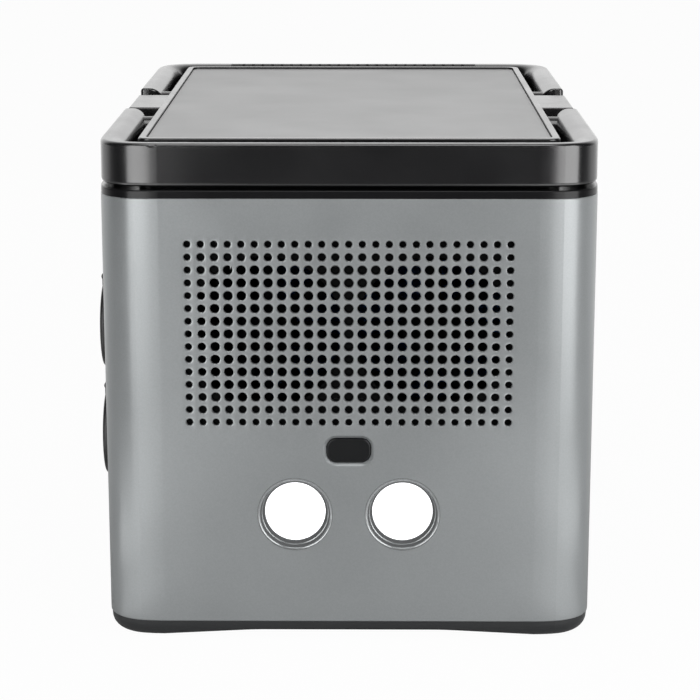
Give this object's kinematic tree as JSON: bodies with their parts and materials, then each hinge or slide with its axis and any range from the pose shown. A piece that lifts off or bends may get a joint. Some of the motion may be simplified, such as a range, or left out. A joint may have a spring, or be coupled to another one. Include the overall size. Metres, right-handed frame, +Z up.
{
  "type": "portable power station",
  "caption": "Box-shaped portable battery power station with folding U handles, a perforated vent, round lamps and a push button on one end, and lidded sockets on a side panel.",
  "frame": {"origin": "on the ground under the middle of the overall box", "axes": "+Z up, +Y from the lamp end to the intake end along the long side, +X away from the control panel"},
  "size_m": [0.223, 0.32, 0.2215],
  "materials": {
    "case_grey": "satin grey moulding with a fine spark texture",
    "panel_black": "fine matte texture",
    "trim_black": "smooth satin black",
    "pad_grey": "smooth soft-touch pad",
    "grip_rubber": "matte rubber",
    "steel": "zinc-plated or nickel-plated",
    "inner_black": "plain moulding",
    "filter_foam": "open-cell foam",
    "bezel_metal": "bright metallised reflector",
    "lens_clear": "clear, slightly frosted",
    "led_white": "translucent silicone dome",
    "circuit_board": "solder mask",
    "socket_black": "smooth",
    "lid_black": "fine matte texture",
    "contact_brass": "plain",
    "display_glass": "tinted",
    "key_grey": "smooth satin",
    "cell_wrap": "shrink-wrapped can",
    "heatsink_aluminium": "extruded, bare",
    "ferrite": "dull sintered core",
    "copper": "enamelled winding wire"
  },
  "bodies": {
    "root": {"lamp_end_cover": "case_grey", "intake_end_cover": "case_grey", "back_cover": "case_grey", "vent_grille": "case_grey", "intake_grille": "case_grey", "lamp_bezels": "case_grey", "front_panel": "panel_black", "base_tray": "trim_black", "top_cover": "trim_black", "deck_pad": "pad_grey", "foot_pads": "grip_rubber", "handle_bumpers": "grip_rubber", "screws": "steel", "handle_pins": "steel", "lid_pins": "steel", "tie_rods": "steel", "earth_clips": "steel", "usb_ports": "steel", "bus_bars": "steel", "filter_frame": "inner_black", "fan_bracket": "inner_black", "fan_frames": "inner_black", "push_switches": "inner_black", "coil_carrier": "inner_black", "cell_holders": "inner_black", "dc_jacks": "inner_black", "display_module": "inner_black", "intake_filter": "filter_foam", "lamp_reflectors": "bezel_metal", "lamp_lenses": "lens_clear", "lamp_leds": "led_white", "lamp_board": "circuit_board", "panel_board": "circuit_board", "bms_board": "circuit_board", "inverter_board": "circuit_board", "upper_ac_socket": "socket_black", "lower_ac_socket": "socket_black", "car_socket": "socket_black", "socket_contacts": "contact_brass", "display_window": "display_glass", "battery_cells": "cell_wrap", "heatsinks": "heatsink_aluminium", "capacitors": "heatsink_aluminium", "transformer": "ferrite", "coil_ferrite": "ferrite", "charging_coil": "copper", "output_choke": "copper"},
    "lamp_end_handle": {"lamp_end_handle": "trim_black", "lamp_end_grip": "grip_rubber"},
    "intake_end_handle": {"intake_end_handle": "trim_black", "intake_end_grip": "grip_rubber"},
    "lamp_button": {"lamp_button": "trim_black"},
    "ac_button": {"ac_button": "key_grey"},
    "dc_button": {"dc_button": "key_grey"},
    "power_button": {"power_button": "key_grey"},
    "fan_rotor_left": {"fan_rotor_left": "inner_black"},
    "fan_rotor_right": {"fan_rotor_right": "inner_black"},
    "upper_socket_lid": {"upper_socket_lid": "lid_black"},
    "lower_socket_lid": {"lower_socket_lid": "lid_black"},
    "car_socket_lid": {"car_socket_lid": "lid_black"}
  },
  "joints": [
    {"name": "lamp_end_handle_fold", "type": "hinge", "parent": "root", "child": "lamp_end_handle", "pos_m": [0.0035, -0.049, 0.21225], "axis": [-1, 0, 0], "range_deg": [0, 100]},
    {"name": "intake_end_handle_fold", "type": "hinge", "parent": "root", "child": "intake_end_handle", "pos_m": [0.0035, 0.049, 0.21225], "axis": [1, 0, 0], "range_deg": [0, 100]},
    {"name": "lamp_button_press", "type": "slide", "parent": "root", "child": "lamp_button", "axis": [0, 1, 0], "range_m": [0, 0.0012], "stiffness_N_per_m": 600},
    {"name": "ac_button_press", "type": "slide", "parent": "root", "child": "ac_button", "axis": [1, 0, 0], "range_m": [0, 0.001], "stiffness_N_per_m": 600},
    {"name": "dc_button_press", "type": "slide", "parent": "root", "child": "dc_button", "axis": [1, 0, 0], "range_m": [0, 0.001], "stiffness_N_per_m": 600},
    {"name": "power_button_press", "type": "slide", "parent": "root", "child": "power_button", "axis": [1, 0, 0], "range_m": [0, 0.001], "stiffness_N_per_m": 600},
    {"name": "left_fan_spin", "type": "hinge", "parent": "root", "child": "fan_rotor_left", "pos_m": [-0.0325, -0.15, 0.1391], "axis": [0, 1, 0], "continuous": true},
    {"name": "right_fan_spin", "type": "hinge", "parent": "root", "child": "fan_rotor_right", "pos_m": [0.0395, -0.15, 0.1391], "axis": [0, 1, 0], "continuous": true},
    {"name": "upper_lid_hinge", "type": "hinge", "parent": "root", "child": "upper_socket_lid", "pos_m": [-0.1097, -0.076, 0.1491], "axis": [0, 1, 0], "range_deg": [0, 95], "stiffness_Nm_per_rad": 0.004, "springref_deg": -17.19},
    {"name": "lower_lid_hinge", "type": "hinge", "parent": "root", "child": "lower_socket_lid", "pos_m": [-0.1097, -0.076, 0.0971], "axis": [0, 1, 0], "range_deg": [0, 95], "stiffness_Nm_per_rad": 0.004, "springref_deg": -17.19},
    {"name": "car_lid_hinge", "type": "hinge", "parent": "root", "child": "car_socket_lid", "pos_m": [-0.1097, 0.088, 0.1456], "axis": [0, 1, 0], "range_deg": [0, 95], "stiffness_Nm_per_rad": 0.004, "springref_deg": -17.19}
  ]
}
